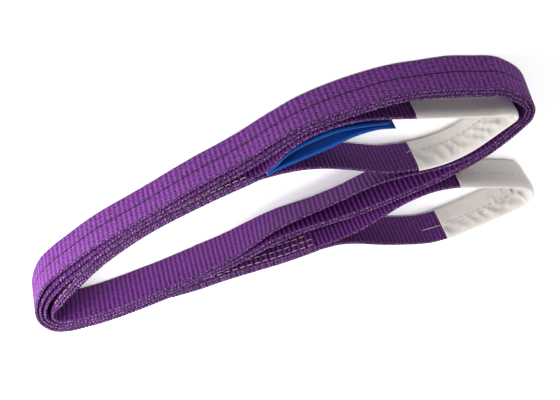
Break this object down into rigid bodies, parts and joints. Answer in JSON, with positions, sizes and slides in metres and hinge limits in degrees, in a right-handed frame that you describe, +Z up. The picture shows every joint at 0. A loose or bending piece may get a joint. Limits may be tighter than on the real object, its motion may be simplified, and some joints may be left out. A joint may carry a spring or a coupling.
{
  "type": "flat web sling",
  "caption": "Coiled flat webbing sling for lifting, with a sewn eye at each end, a fabric wear sleeve on each eye and a blank label.",
  "frame": {"origin": "middle of the coiled sling's footprint, on the surface it lies on", "axes": "+X along the long way of the coil, away from the two eyes; +Z up along the webbing's width, from the surface the coil lies on; +Y from splice A's side to splice B's side"},
  "size_m": [0.3636, 0.1446, 0.0324],
  "materials": {
    "webbing": "matt woven polyester",
    "stitching": "matt cream thread",
    "sleeve": "matt off-white woven fabric",
    "sleeve_thread": "matt white thread",
    "label": "satin coated label"
  },
  "bodies": {
    "coil": {"body_web": "webbing", "splice_a_tail": "webbing", "splice_b_tail": "webbing", "splice_a_outer_stitch_1": "stitching", "splice_a_outer_stitch_2": "stitching", "splice_a_outer_stitch_3": "stitching", "splice_a_outer_stitch_4": "stitching", "splice_a_outer_stitch_5": "stitching", "splice_a_inner_stitch_1": "stitching", "splice_a_inner_stitch_2": "stitching", "splice_a_inner_stitch_3": "stitching", "splice_a_inner_stitch_4": "stitching", "splice_a_inner_stitch_5": "stitching", "splice_b_inner_stitch_1": "stitching", "splice_b_inner_stitch_2": "stitching", "splice_b_inner_stitch_3": "stitching", "splice_b_inner_stitch_4": "stitching", "splice_b_inner_stitch_5": "stitching", "splice_b_outer_stitch_1": "stitching", "splice_b_outer_stitch_2": "stitching", "splice_b_outer_stitch_3": "stitching", "splice_b_outer_stitch_4": "stitching", "splice_b_outer_stitch_5": "stitching"},
    "eye_a": {"eye_a_web": "webbing", "wear_sleeve_a": "sleeve", "sleeve_a_seam": "sleeve_thread"},
    "eye_b": {"eye_b_web": "webbing", "wear_sleeve_b": "sleeve", "sleeve_b_seam": "sleeve_thread"},
    "label": {"label_front_leaf": "label", "label_back_leaf": "label"}
  },
  "joints": [
    {"name": "eye_a_lift", "type": "hinge", "parent": "coil", "child": "eye_a", "pos_m": [0.0067, -0.0467, 0.03], "axis": [0, 1, 0], "range_deg": [0, 22]},
    {"name": "eye_b_swing", "type": "hinge", "parent": "coil", "child": "eye_b", "pos_m": [-0.01028, 0.03383, 0.015], "axis": [0, 0, -1], "range_deg": [-1, 60]},
    {"name": "label_flap", "type": "hinge", "parent": "eye_a", "child": "label", "pos_m": [-0.00013, -0.04647, 0.015], "axis": [0, 0, -1], "range_deg": [-1, 8]}
  ]
}
